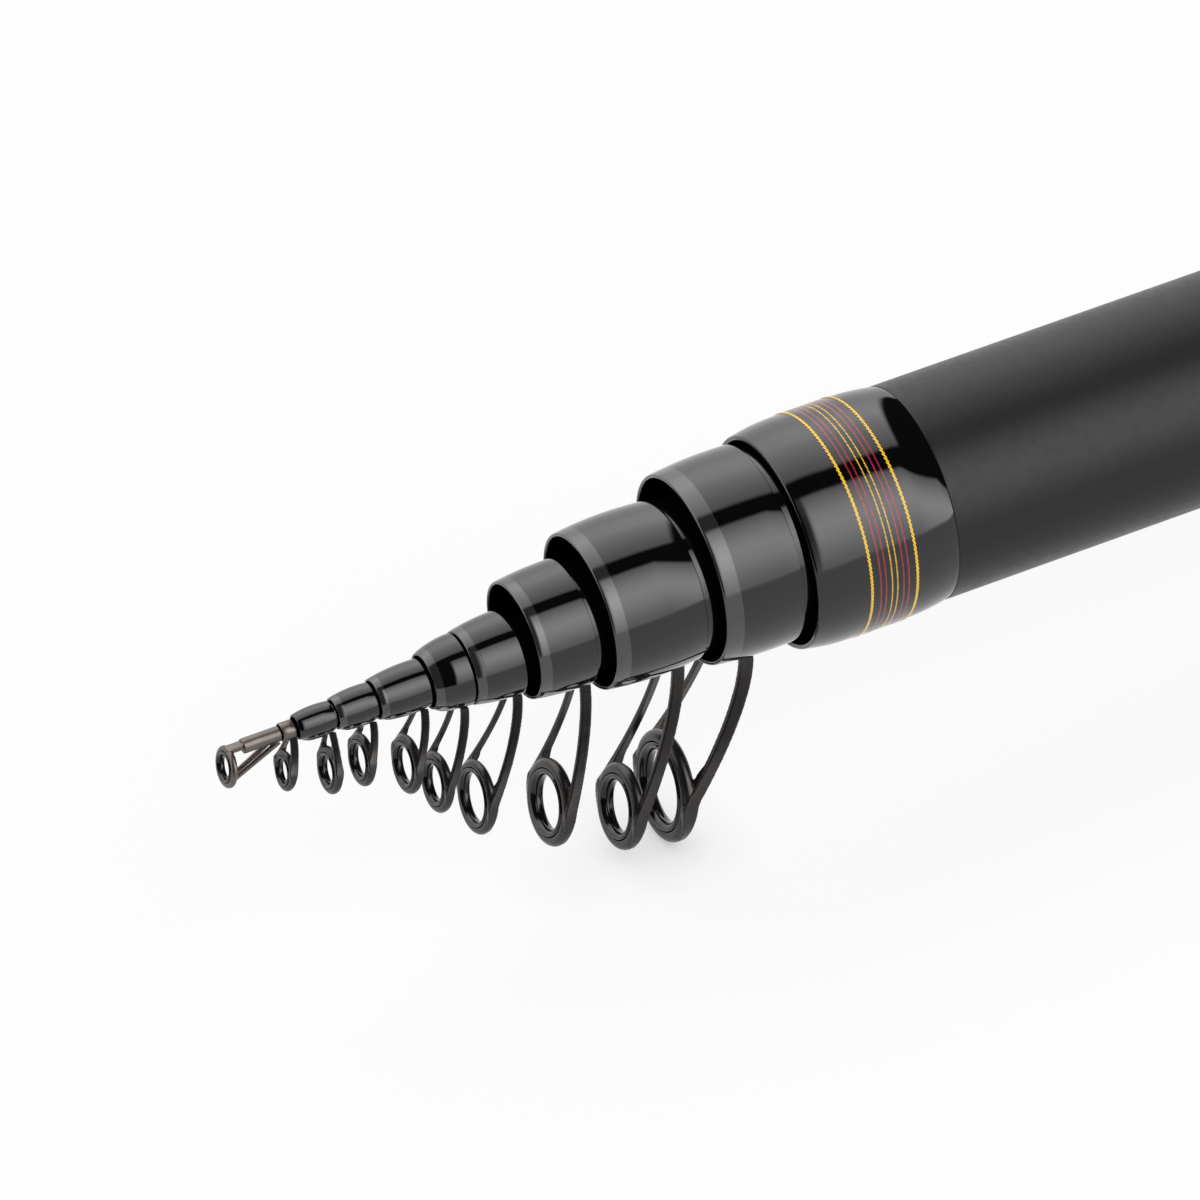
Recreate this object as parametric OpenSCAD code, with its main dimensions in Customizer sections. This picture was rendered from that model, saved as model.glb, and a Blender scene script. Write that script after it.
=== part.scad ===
/* [Nested sections] */
// Radius of the tip blank at its rear end
tip_rear_r = 1.2; // [1.15:0.01:1.3]
// Radius of the tip blank under the tip-top
tip_front_r = 0.7; // [0.6:0.01:0.75]
// Clearance of each rear end in the mouth of the next section
seat_clear = 0.15; // [0.12:0.01:0.25]
// Tube wall of each section, thinnest section first and the butt last
tube_wall = [0.15, 0.15, 0.15, 0.2, 0.2, 0.25, 0.3, 0.3, 0.3]; // [0.15:0.01:0.5]
// Lacquer thickness at the lip of each collar, thinnest section first
collar_wall = [0.1, 0.1, 0.1, 0.1, 0.1, 0.15, 0.15, 0.2, 0.35]; // [0.1:0.01:0.5]
// Growth of the outer radius from the front of each section to its rear
taper = [0.1, 0.3, 0.65, 0.75, 2.35, 2.05, 1.7, 0.9]; // [0.1:0.05:3]
// Length of each lip ahead of the next lip when the rod is closed
show = [5.05, 5.35, 6.75, 5.05, 7.15, 9.0, 13.8, 11.65]; // [5:0.1:20]
// Radial step from the rear of each collar to the next mouth, negative where the collar is wider
mouth_gap = [-0.03, 0.05, 0.25, -0.17, 1.75, 1.55, 1.55, 0.4]; // [-0.2:0.01:2]
// Barrel swell of each collar at half its length
swell = [0.3, 0.35, 0.42, 0.72, 0.5, 0.4, 0.45, 0.45]; // [0.1:0.05:1.5]
// Drop of each section in the next mouth when the rod is closed, negative where its guide lifts it
lies_low = [0, 0, 0, 0, 1.25, 0.75, 0.8, -0.45]; // [-0.5:0.05:1.3]
// Length of each rear end that stays inside when a section is drawn out
overlap = 45; // [30:1:60]
// Running gap between pieces that rest near each other
rest_gap = 0.3; // [0.2:0.05:0.35]
// Bare neck between each collar and the next lip when the rod is closed
neck = [0.3, 0.3, 0.3, 0.3, 0.9, 1.6, 1.6, 1.3]; // [0.3:0.1:2]
// Glue line between bonded pieces
bond = 0.03; // [0.02:0.01:0.05]

/* [Butt section] */
// Length of the butt tube from its rear end to its lip
butt_len = 510; // [440:1:700]
// Outer radius of the butt along the hand grip
grip_r = 14; // [14:0.1:16]
// Length of the cylindrical hand grip
grip_len = 190; // [150:1:195]
// Outer radius of the butt just behind its collar
butt_front_r = 13.8; // [13.5:0.05:13.9]
// Radial clearance round the largest section at the rear of the butt
butt_rear_clear = 0.6; // [0.3:0.05:0.6]
// Length of the butt collar
butt_collar_len = 19.2; // [16:0.1:30]
// Radius of the plain land that the threads are wound on
land_r = 14.2; // [13.9:0.01:14.4]
// Radius of the collar's crown on each side of the thread land
crown_r = 14.32; // [14.2:0.01:14.6]
// Length of the thread land
land_len = 8.6; // [8.5:0.1:10]
// Distance from the butt lip to the thread land
land_setback = 5.7; // [5:0.1:8.6]

/* [Thread windings] */
// Thickness of the fine thread
thread_d = 0.24; // [0.2:0.01:0.3]
// Thickness of the twisted gold thread
cord_d = 0.36; // [0.3:0.01:0.5]
// Pitch of the paired turns
thread_pitch = 0.72; // [0.72:0.01:0.8]
// Offset along the rod between the ends of a single turn
cord_pitch = 0.95; // [0.95:0.01:1.1]
// Distance between neighbouring windings
winding_step = 1.55; // [1.5:0.01:1.6]

/* [Guides] */
// Hole radius of each guide ring, thinnest section first
hole_r = [1.6, 1.9, 2.2, 2.2, 3.0, 3.3, 3.2, 4.5]; // [1.4:0.1:6]
// Radial thickness of each ceramic ring
insert_t = [0.65, 0.65, 0.7, 0.75, 0.75, 1.0, 1.0, 1.2]; // [0.4:0.05:1.5]
// Radial thickness of each ring holder
holder_t = [0.75, 0.75, 0.8, 0.85, 0.9, 1.2, 1.25, 1.4]; // [0.6:0.05:1.5]
// Depth of each ring centre below the axis of its section
ring_drop = [7.75, 7.9, 10.85, 15.0, 19.2, 25.05, 30.1, 30.25]; // [6:0.1:40]
// Place of each ring centre ahead of the lip of its section
ring_x = [-3.75, -2.95, -3.35, -0.2, -0.1, -2.55, -2.75, 4.9]; // [-8:0.05:6]
// Forward lean of the foot of each ring
ring_lean = [11, 11, 11, 11, 12, 14, 14, 9.5]; // [0:0.5:20]
// Half depth of a ring holder as a share of its radial thickness
rim_depth = 0.65; // [0.5:0.05:1]
// Width of each leg strip
leg_w = [0.85, 0.9, 0.95, 1.0, 1.15, 1.3, 1.5, 1.7]; // [0.6:0.05:2]
// Thickness of each leg strip
leg_t = [0.4, 0.4, 0.45, 0.5, 0.5, 0.6, 0.65, 0.7]; // [0.3:0.05:1]
// Distance of each leg ahead of the next lip
leg_clear = [0.3, 0.3, 0.3, 0.3, 0.3, 0.3, 1.75, 5.3]; // [0.3:0.05:7]
// Half the spread of each pair of legs at the foot
foot_y = [0.8, 0.9, 1.0, 1.4, 1.3, 1.3, 1.9, 4.4]; // [0.5:0.1:6]
// Thickness of the foot saddle
saddle_t = 0.35; // [0.3:0.05:0.5]
// Setback of the foot saddle behind the lip of its section
saddle_setback = 0.6; // [0.3:0.1:2]
// Height that a ceramic ring stands proud of its holder on each side
ring_proud = 0.15; // [0.1:0.05:0.3]

/* [Tip top and floating guide] */
// Outer radius of the tip-top tube
tip_tube_r = 0.95; // [0.92:0.01:1.1]
// Distance from the lip of the thinnest section to the tip-top tube
tip_tube_start = 2.4; // [2.4:0.1:3]
// Length of the tip-top tube
tip_tube_len = 4.7; // [4:0.1:8]
// Depth of the tip blank in the tip-top tube
tip_seat = 4; // [3:0.1:4.5]
// Hole radius of the tip-top ring
tip_hole_r = 1.5; // [1.2:0.05:1.6]
// Radial thickness of the small ceramic rings
small_insert_t = 0.5; // [0.4:0.05:0.6]
// Radial thickness of the small ring holders
small_holder_t = 0.62; // [0.6:0.01:0.8]
// Place of the tip-top ring ahead of its tube
tip_ring_reach = 2.2; // [2.2:0.1:4]
// Depth of the tip-top ring centre below the axis
tip_ring_drop = 2.1; // [1.8:0.1:2.2]
// Forward lean of the foot of the tip-top ring and the floating ring
small_ring_lean = 12; // [0:0.5:20]
// Radius of the two tip-top braces
brace_r = 0.28; // [0.2:0.01:0.35]
// Width of the strut on top of the tip-top
strut_w = 1.1; // [0.8:0.05:1.3]
// Hole radius of the floating guide
float_hole_r = 1.4; // [1.2:0.05:1.5]
// Depth of the floating ring centre below the axis
float_drop = 5.6; // [5.6:0.1:7]
// Place of the floating ring ahead of the thinnest lip
float_ring_x = 1.95; // [1.5:0.05:2]
// Length of the floating sleeve
float_len = 1.7; // [1.4:0.1:1.9]
// Wall of the floating sleeve
float_wall = 0.15; // [0.15:0.01:0.25]
// Share of the tip travel that the floating guide falls back
float_share = 0.45; // [0.3:0.05:0.5]
// Width of the floating guide's legs
float_leg_w = 0.8; // [0.6:0.05:0.8]
// Thickness of the floating guide's legs
float_leg_t = 0.4; // [0.3:0.05:0.5]

/* [Reel seat] */
// Distance from the butt end to the rear of the seat plate
seat_x = 205; // [200:1:240]
// Length of the seat plate
seat_len = 126; // [124:1:150]
// Thickness of the seat plate
plate_t = 1.2; // [1:0.1:1.5]
// Half the angle that the seat plate wraps round the butt
plate_half_angle = 34; // [30:1:40]
// Thickness of the plate ends under the bindings
toe_t = 0.6; // [0.4:0.1:0.8]
// Length of each plate end and of its binding
toe_len = 12; // [10:1:16]
// Thickness of a binding over the plate ends
binding_t = 0.5; // [0.4:0.1:1]
// Outer radius of the hoods
hood_r = 9; // [8.5:0.1:10]
// Radius at the closed nose of the hoods
nose_r = 6.5; // [6:0.1:7.5]
// Wall of the hoods
hood_wall = 1.3; // [1:0.1:1.5]
// Depth of the hood axis below the rod axis
hood_drop = 14; // [13.8:0.1:14.5]
// Length of each hood
hood_len = 20; // [18:0.5:24]
// Gap between the two hoods when the seat is open
hood_span = 60; // [50:1:61]
// Running gap of the sliding hood on its plate
hood_gap = 0.1; // [0.08:0.01:0.15]
// Radius of the lever pin
pin_r = 1; // [0.8:0.1:1.2]
// Running gap of the lever on its pin
pin_gap = 0.05; // [0.03:0.01:0.08]
// Length of the lock lever
lever_len = 11; // [8:0.5:12]
// Width of the lock lever
lever_w = 7; // [5:0.5:8]
// Thickness of the lock lever
lever_t = 1.6; // [1.2:0.1:2]

/* [Butt cap] */
// Length of the cap's plug inside the tube
plug_len = 10; // [8:0.5:14]
// Running gap of the plug in the tube
plug_gap = 0.08; // [0.05:0.01:0.1]
// Thickness of the cap's head
cap_head = 7; // [5:0.5:12]
// Margin of the cap's head inside the grip radius
cap_margin = 0.3; // [0.1:0.1:1]
// Number of finger notches round the head
notch_count = 12; // [8:1:16]
// Radius of a finger notch
notch_r = 1.4; // [1:0.1:1.6]
// Thickness of the rubber end pad
pad_t = 2.4; // [2:0.1:4]
// Depth that the pad is let into the head
pad_inset = 1.2; // [0.8:0.1:1.6]
// Rim of the head round the pad
pad_rim = 3; // [2.5:0.1:4]
// Thickness of the bumper
bumper_t = 5.4; // [5:0.1:10]
// Radius of the post that carries the bumper
post_r = 3; // [2:0.1:5]
// Length of the post
post_len = 4; // [3:0.1:4.2]

/* [Hidden] */
$fn = 64;
LAST = len(show) - 1;
BUTT = len(show);
FIRST_NUMBER = 2;
CURVE_STEPS = 10;
RING_STEPS = 12;
function number_of(s) = FIRST_NUMBER + LAST - s;
function node_names(word) = [for (s = [LAST:-1:0]) str(word, "_", number_of(s))];

// Radii of the nest, worked out from the thinnest piece outwards
function rear_r(s) = s < 0 ? tip_rear_r : tube_r(s) + taper[s];
function bore_r(s) = rear_r(s - 1) + seat_clear;
function tube_r(s) = bore_r(s) + tube_wall[s];
function lip_r(s) = tube_r(s) + collar_wall[s];
butt_rear_bore = rear_r(LAST) + butt_rear_clear;

// Places along the rod and below its axis
function lip_x(s) = s == BUTT ? butt_len : lip_x(s + 1) + show[s];
function axis_z(s) = s == BUTT ? 0 : axis_z(s + 1) - lies_low[s];
bumper_x = plug_len + rest_gap;
rear_x = bumper_x + bumper_t + rest_gap;
function travel(s) = lip_x(s + 1) - overlap - rear_x;

// Outer radius of a collar at the distance back from its lip
function shoulder_r(s) = bore_r(s + 1) - mouth_gap[s];
function collar_len(s) = show[s] - neck[s];
function barrel(a, m, b, t) = a * (1 - t) * (1 - 2 * t) + 4 * m * t * (1 - t) + b * t * (2 * t - 1);
function collar_r(s, back) = barrel(lip_r(s), lip_r(s) + swell[s], shoulder_r(s),
  min(1, max(0, back / collar_len(s))));

// Butt and tip outlines
function butt_out(x) = x < grip_len ? grip_r
  : grip_r + (butt_front_r - grip_r) * (x - grip_len) / (butt_len - butt_collar_len - grip_len);
tip_tube_x = lip_x(0) + tip_tube_start;
tip_end_x = tip_tube_x + tip_seat;
function blank_r(x) = tip_rear_r + (tip_front_r - tip_rear_r)
  * min(1, max(0, (x - rear_x - overlap) / (tip_tube_x - rear_x - overlap)));
float_bore = blank_r(lip_x(0) + rest_gap - float_share * travel(-1)) + hood_gap;
float_out = float_bore + float_wall;
tip_ring_x = tip_tube_x + tip_tube_len + tip_ring_reach;

// A profile of [radius, place along the rod] points turned about the rod's axis
module turned(points) {
  rotate([0, 90, 0])
    rotate_extrude()
      polygon(points);
}

// The same profile turned through an arc that is centred under the rod
module turned_under(points, half_angle) {
  rotate([0, 90, 0])
    rotate([0, 0, -half_angle])
      rotate_extrude(angle = 2 * half_angle)
        polygon(points);
}

// A round bar between two points
module bar(from, to, r) {
  d = to - from;
  flat = norm([d.x, d.y]);
  translate(from)
    rotate([0, atan2(flat, d.z), atan2(d.y, d.x)])
      cylinder(r = r, h = norm(d));
}

// A carbon tube with a straight mouth and a straight rear end
module section_tube(s) {
  wall = tube_wall[s];
  end_r = rear_r(s);
  lip = lip_x(s);
  color("#1b1c1e")
    translate([0, 0, axis_z(s)])
      turned([
        [bore_r(s), lip], [tube_r(s), lip], [tube_r(s), lip - overlap],
        [end_r, rear_x + overlap], [end_r, rear_x], [end_r - wall, rear_x],
        [end_r - wall, rear_x + overlap], [bore_r(s), lip - overlap]]);
}

// The lacquered barrel collar at the mouth of a section
module section_collar(s) {
  inner = tube_r(s) + bond;
  rear = lip_x(s) - collar_len(s);
  barrel_points = [for (i = [0:CURVE_STEPS]) let (back = collar_len(s) * i / CURVE_STEPS)
    [collar_r(s, back), lip_x(s) - back]];
  color("#26282b")
    translate([0, 0, axis_z(s)])
      turned(concat(barrel_points, [[inner, rear], [inner, lip_x(s)]]));
}

// The metal rim round a ceramic ring, flat inside and round outside
module ring_holder(seat_r, thickness, lean) {
  half = thickness * rim_depth;
  rotate([0, 90 - lean, 0])
    rotate_extrude() {
      translate([seat_r, -half])
        square([thickness - half, 2 * half]);
      intersection() {
        translate([seat_r + thickness - half, 0])
          circle(r = half);
        translate([seat_r, -half])
          square([thickness, 2 * half]);
      }
    }
}

// A ceramic ring with a rounded bore
module ceramic_ring(bore, thickness, holder, lean) {
  half = holder * rim_depth + ring_proud;
  outer = bore + thickness - bond;
  rotate([0, -lean, 0])
    turned([for (i = [0:RING_STEPS]) let (a = 180 * i / RING_STEPS)
      [outer - (outer - bore) * sin(a), half * cos(a)]]);
}

// A curved flat leg that leaves the side of a ring along its rim and leans in to its foot
module guide_leg(ring, ring_r, foot, width, thickness) {
  rise = foot.z - ring.z;
  hub = ring_r - thickness / 2;
  span = norm([foot.y, rise]);
  lean = atan2(rise, foot.y) - acos(hub / span);
  reach = sqrt(pow(span, 2) - pow(hub, 2));
  root = ring_r * 0.2;
  sweep = foot.x - ring.x;
  spine = [for (i = [0:CURVE_STEPS]) let (t = i / CURVE_STEPS, u = 1 - t)
    [ring.x + sweep * (1 - pow(u, 1.6)), reach * t, width * (1 + 0.45 * pow(u, 5)) / 2]];
  front = [for (p = spine) [p.x + p.z, p.y]];
  back = [for (i = [CURVE_STEPS:-1:0]) [spine[i].x - spine[i].z, spine[i].y]];
  toe = [[ring.x - width / 4, -root], [ring.x + width / 4, -root]];
  translate([0, 0, ring.z])
    rotate([lean, 0, 0])
      translate([0, hub, 0])
        rotate([90, 0, 0])
          linear_extrude(thickness, center = true)
            polygon(concat(front, back, toe));
}

// The thin foot of a guide, bent to the collar that it is bonded under
module foot_saddle(s, foot_x) {
  first = saddle_setback;
  last = -foot_x + leg_w[s] / 2;
  backs = [for (i = [0:CURVE_STEPS]) first + (last - first) * i / CURVE_STEPS];
  under = [for (b = backs) [collar_r(s, b) + bond, -b]];
  over = [for (i = [CURVE_STEPS:-1:0]) [collar_r(s, backs[i]) + bond + saddle_t, -backs[i]]];
  half_angle = asin((foot_y[s] + leg_t[s]) / collar_r(s, last));
  turned_under(concat(under, over), half_angle);
}

function holder_seat(s) = hole_r[s] + insert_t[s];
function holder_out(s) = holder_seat(s) + holder_t[s];
function foot_place(s) = -show[s] + leg_clear[s] + leg_w[s] / 2;

// The metal frame of a guide: ring holder, two legs and foot
module guide_frame(s) {
  foot_x = foot_place(s);
  foot_r = collar_r(s, -foot_x) + bond + saddle_t * 0.6;
  foot = [foot_x, foot_y[s], -sqrt(pow(foot_r, 2) - pow(foot_y[s], 2))];
  ring = [ring_x[s], 0, -ring_drop[s]];
  color("#4a4440")
    translate([lip_x(s), 0, axis_z(s)]) {
      difference() {
        union() {
          translate(ring)
            ring_holder(holder_seat(s), holder_t[s], ring_lean[s]);
          for (side = [0, 1])
            mirror([0, side, 0])
              guide_leg(ring, holder_out(s), foot, leg_w[s], leg_t[s]);
        }
        translate(ring)
          rotate([0, 90 - ring_lean[s], 0])
            cylinder(r = holder_seat(s), h = 4 * holder_t[s], center = true);
      }
      foot_saddle(s, foot_x);
    }
}

// The ceramic ring of a guide
module guide_ring(s) {
  color("#0c0d0f")
    translate([lip_x(s) + ring_x[s], 0, axis_z(s) - ring_drop[s]])
      ceramic_ring(hole_r[s], insert_t[s], holder_t[s], ring_lean[s]);
}

// The butt tube with its cylindrical grip and long front taper
module butt_tube() {
  collar_rear = butt_len - butt_collar_len;
  color("#2d2e30")
    turned([
      [bore_r(BUTT), butt_len], [tube_r(BUTT), butt_len], [tube_r(BUTT), collar_rear],
      [butt_front_r, collar_rear], [grip_r, grip_len], [grip_r, 0],
      [butt_rear_bore, 0], [butt_rear_bore, rear_x + overlap], [bore_r(BUTT), butt_len - overlap]]);
}

// The lacquered front collar of the butt, with a plain land for the threads
module butt_collar() {
  inner = tube_r(BUTT) + bond;
  land_front = butt_len - land_setback;
  land_rear = land_front - land_len;
  rear = butt_len - butt_collar_len + bond;
  half_way = (lip_r(BUTT) + crown_r) / 2 + (crown_r - lip_r(BUTT)) / 8;
  nose = [for (i = [0:CURVE_STEPS]) let (t = i / CURVE_STEPS)
    [barrel(lip_r(BUTT), half_way, crown_r, t), butt_len - land_setback * t]];
  color("#1f2022")
    turned(concat(nose, [[land_r, land_front], [land_r, land_rear], [crown_r, land_rear],
      [butt_front_r, rear], [inner, rear], [inner, butt_len]]));
}

// A thread wound round the land, stepping along the rod only under the rod
THREAD_SIDES = 6;
TURN_RINGS = 24;
function thread_step(t) = let (f = t - floor(t), k = min(1, max(0, (f - 0.35) / 0.3)))
  floor(t) + k * k * (3 - 2 * k);
function thread_points(x, turns, pitch, d) = let (
    count = turns * TURN_RINGS,
    r = (land_r + bond + d / 2) / cos(180 / TURN_RINGS),
    middle = (turns + 1) / 2)
  [for (i = [0:count]) let (t = 0.5 + i / TURN_RINGS, a = 360 * t)
    [x + pitch * (thread_step(t) - middle), r * sin(a), r * cos(a)]];
module winding(x, turns, pitch, d) {
  spine = thread_points(x, turns, pitch, d);
  count = len(spine);
  points = [for (p = spine) let (out = [0, p.y, p.z] / norm([p.y, p.z]))
    for (k = [0:THREAD_SIDES - 1]) let (a = 360 * k / THREAD_SIDES)
      p + d / 2 * (cos(a) * out + sin(a) * [1, 0, 0])];
  sides = [for (i = [0:count - 2]) for (k = [0:THREAD_SIDES - 1]) let (
      a = i * THREAD_SIDES + k,
      b = i * THREAD_SIDES + (k + 1) % THREAD_SIDES)
    for (face = [[a, b, b + THREAD_SIDES], [a, b + THREAD_SIDES, a + THREAD_SIDES]]) face];
  final = (count - 1) * THREAD_SIDES;
  caps = [for (k = [1:THREAD_SIDES - 2])
    for (face = [[0, k + 1, k], [final, final + k, final + k + 1]]) face];
  polyhedron(points, concat(sides, caps));
}

// Least gap of a winding to itself, measured between points a turn or so apart
function self_gap(spine, d) = min([for (i = [0:len(spine) - 1])
  for (j = [i + TURN_RINGS / 2:1:len(spine) - 1]) norm(spine[i] - spine[j]) - d]);

winding_mid = butt_len - land_setback - land_len / 2;
function winding_x(place) = winding_mid + place * winding_step;
echo(gold_pair_gap = self_gap(thread_points(0, 2, thread_pitch, thread_d), thread_d));
echo(gold_turn_gap = self_gap(thread_points(0, 1, cord_pitch, cord_d), cord_d));

// The gold threads: a twisted turn at each end and a fine pair in the middle
module gold_thread() {
  color("#c9a24a") {
    for (place = [-2, 2])
      winding(winding_x(place), 1, cord_pitch, cord_d);
    winding(winding_x(0), 2, thread_pitch, thread_d);
  }
}

// The red threads: a fine pair on each side of the gold pair
module red_thread() {
  color("#b3202a")
    for (place = [-1, 1])
      winding(winding_x(place), 2, thread_pitch, thread_d);
}

// Places of the reel seat along the butt
plate_rear = seat_x + toe_len;
plate_front = seat_x + seat_len - toe_len;
fixed_hood_front = plate_front - rest_gap;
fixed_hood_x = fixed_hood_front - hood_len;
slide_front = fixed_hood_x - hood_span;
slide_rear = slide_front - hood_len;
function plate_out(x) = butt_out(x) + bond + plate_t;

// The curved seat plate with a thin toe at each end
module reel_seat_plate() {
  x0 = seat_x;
  x1 = plate_rear;
  x2 = plate_front;
  x3 = seat_x + seat_len;
  under = [for (x = [x0, x3]) [butt_out(x) + bond, x]];
  over = [
    [butt_out(x3) + bond + toe_t, x3], [butt_out(x2) + bond + toe_t, x2], [plate_out(x2), x2],
    [plate_out(x1), x1], [butt_out(x1) + bond + toe_t, x1], [butt_out(x0) + bond + toe_t, x0]];
  color("#6d7073")
    turned_under(concat(under, over), plate_half_angle);
}

// A wound and lacquered binding over one toe of the seat plate
module binding(x) {
  top = toe_t + binding_t;
  toe_angle = plate_half_angle + 1;
  color("#17181a")
    difference() {
      turned([
        [butt_out(x) + bond, x], [butt_out(x) + top, x + 1], [butt_out(x) + top, x + toe_len - 1 - bond],
        [butt_out(x + toe_len) + bond + top / 2, x + toe_len - bond],
        [butt_out(x + toe_len) + bond, x + toe_len - bond]]);
      turned_under([
        [butt_out(x) - 1, x - 1], [butt_out(x) + toe_t + 3 * bond, x - 1],
        [butt_out(x) + toe_t + 3 * bond, x + toe_len + 1], [butt_out(x) - 1, x + toe_len + 1]], toe_angle);
    }
}
module rear_binding() {
  binding(seat_x);
}
module front_binding() {
  binding(plate_front + bond);
}

// A hood that takes one end of a reel foot, open towards the other hood
module hood_shell(x, gap) {
  translate([x, 0, 0])
    difference() {
      translate([0, 0, -hood_drop])
        rotate([0, 90, 0])
          difference() {
            cylinder(r1 = hood_r, r2 = nose_r, h = hood_len);
            translate([0, 0, -hood_wall])
              cylinder(r1 = hood_r - hood_wall, r2 = nose_r - hood_wall, h = hood_len);
          }
      translate([-1, 0, 0])
        rotate([0, 90, 0])
          cylinder(r = plate_out(seat_x) + gap, h = hood_len + 2);
    }
}
module fixed_hood() {
  color("#3a3c3f")
    hood_shell(fixed_hood_x, bond);
}

// The sliding hood with the two ears that carry its lock lever
ear_t = 1.4;
lever_boss_r = pin_r + 1.3;
lever_pin_z = -plate_out(seat_x) - rest_gap - lever_boss_r - hood_gap;
lever_pin_x = slide_rear - lever_boss_r - rest_gap;
module sliding_hood() {
  ear_low = lever_pin_z - pin_r - 1;
  ear_rear = lever_pin_x - pin_r - 1;
  color("#3a3c3f")
    difference() {
      union() {
        translate([slide_rear + slide_front, 0, 0])
          mirror([1, 0, 0])
            hood_shell(slide_rear, hood_gap);
        for (side = [-1, 1])
          translate([ear_rear, side * (lever_w / 2 + rest_gap + ear_t / 2) - ear_t / 2, ear_low])
            cube([slide_rear + hood_wall - ear_rear, ear_t, 2 * (lever_pin_z - ear_low)]);
      }
      translate([lever_pin_x, 0, lever_pin_z])
        rotate([90, 0, 0])
          cylinder(r = pin_r + bond, h = lever_w + 8 * ear_t, center = true);
      translate([ear_rear - 1, 0, 0])
        rotate([0, 90, 0])
          cylinder(r = plate_out(seat_x) + hood_gap, h = hood_len + 2 * lever_boss_r + 8);
    }
}

// The pin of the lock lever
module lever_pin() {
  color("#8a8d90")
    translate([lever_pin_x, 0, lever_pin_z])
      rotate([90, 0, 0])
        cylinder(r = pin_r, h = lever_w + 2 * rest_gap + 2 * ear_t, center = true);
}

// The lock lever, folded flat against the seat plate
module lock_lever() {
  color("#55585b")
    translate([lever_pin_x, 0, lever_pin_z])
      rotate([90, 0, 0])
        difference() {
          union() {
            cylinder(r = lever_boss_r, h = lever_w, center = true);
            translate([-lever_len, -lever_boss_r, -lever_w / 2])
              cube([lever_len, lever_t, lever_w]);
            translate([-lever_len, lever_t / 2 - lever_boss_r, 0])
              cylinder(r = lever_t / 2, h = lever_w, center = true);
          }
          cylinder(r = pin_r + pin_gap, h = lever_w + 2, center = true);
        }
}

// The soft bumper that stops the rear ends of the nested sections
module bumper() {
  r = butt_rear_bore - rest_gap;
  color("#2a2a2a")
    difference() {
      turned([[0, bumper_x], [r, bumper_x], [r, bumper_x + bumper_t - 1], [r - 1, bumper_x + bumper_t],
        [0, bumper_x + bumper_t]]);
      translate([bumper_x - 1, 0, 0])
        rotate([0, 90, 0])
          cylinder(r = post_r + plug_gap, h = post_len + 1 + rest_gap);
    }
}

// The screw cap that closes the butt, with finger notches and a recess for its pad
module butt_cap() {
  head_r = grip_r - cap_margin;
  plug_r = butt_rear_bore - plug_gap;
  color("#3d3f42")
    difference() {
      turned([
        [0, pad_inset - cap_head], [head_r - pad_rim, pad_inset - cap_head], [head_r - pad_rim, -cap_head],
        [head_r - 1, -cap_head], [head_r, 1 - cap_head], [head_r, 0], [plug_r, 0], [plug_r, plug_len - 1],
        [plug_r - 1, plug_len], [post_r, plug_len], [post_r, bumper_x + post_len],
        [0, bumper_x + post_len]]);
      for (i = [0:notch_count - 1])
        rotate([360 * i / notch_count, 0, 0])
          translate([-cap_head - 1, 0, head_r + notch_r / 2])
            rotate([0, 90, 0])
              cylinder(r = notch_r, h = cap_head - 1);
    }
}

// The rubber pad in the end of the cap
module cap_pad() {
  r = grip_r - cap_margin - pad_rim - bond;
  seat = pad_inset - cap_head - bond;
  color("#151515")
    turned([[0, seat], [r, seat], [r, seat - pad_t / 2], [r - 1, seat - pad_t * 0.85],
      [r / 2, seat - pad_t], [0, seat - pad_t]]);
}

// The solid tip blank
module tip_blank() {
  color("#1d1e20")
    translate([0, 0, axis_z(0)])
      turned([[0, rear_x], [tip_rear_r, rear_x], [tip_rear_r, rear_x + overlap], [tip_front_r, tip_tube_x],
        [tip_front_r, tip_end_x], [0, tip_end_x]]);
}

// The tip-top frame: tube, strut, ring holder and two braces
module tip_top_frame() {
  seat_r = tip_hole_r + small_insert_t;
  out_r = seat_r + small_holder_t;
  tube_end = tip_tube_x + tip_tube_len;
  strut_z = out_r - tip_ring_drop - small_holder_t / 2;
  brace_z = -tip_ring_drop - seat_r - small_holder_t / 2;
  color("#7a6e66")
    translate([0, 0, axis_z(0)])
      difference() {
        union() {
          turned([[0, tip_end_x + bond], [tip_front_r + bond, tip_end_x + bond],
            [tip_front_r + bond, tip_tube_x], [tip_tube_r, tip_tube_x], [tip_tube_r, tube_end],
            [0, tube_end]]);
          translate([tip_ring_x, 0, -tip_ring_drop])
            ring_holder(seat_r, small_holder_t, small_ring_lean);
          translate([tip_end_x + 2 * bond, -strut_w / 2, strut_z - small_holder_t / 2])
            cube([tip_ring_x - tip_end_x - 2 * bond, strut_w, small_holder_t]);
          for (side = [-1, 1])
            bar([tip_ring_x, side * brace_r, brace_z],
              [tip_tube_x + 2 * brace_r, side * tip_tube_r * 0.65, -tip_tube_r * 0.75], brace_r);
        }
        translate([tip_ring_x, 0, -tip_ring_drop])
          rotate([0, 90 - small_ring_lean, 0])
            cylinder(r = seat_r, h = 4 * small_holder_t, center = true);
        translate([tip_tube_x - 1, 0, 0])
          rotate([0, 90, 0])
            cylinder(r = tip_front_r + bond, h = tip_seat + 1 + bond);
      }
}

// The ceramic ring of the tip-top
module tip_top_ring() {
  color("#0c0d0f")
    translate([tip_ring_x, 0, axis_z(0) - tip_ring_drop])
      ceramic_ring(tip_hole_r, small_insert_t, small_holder_t, small_ring_lean);
}

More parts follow.
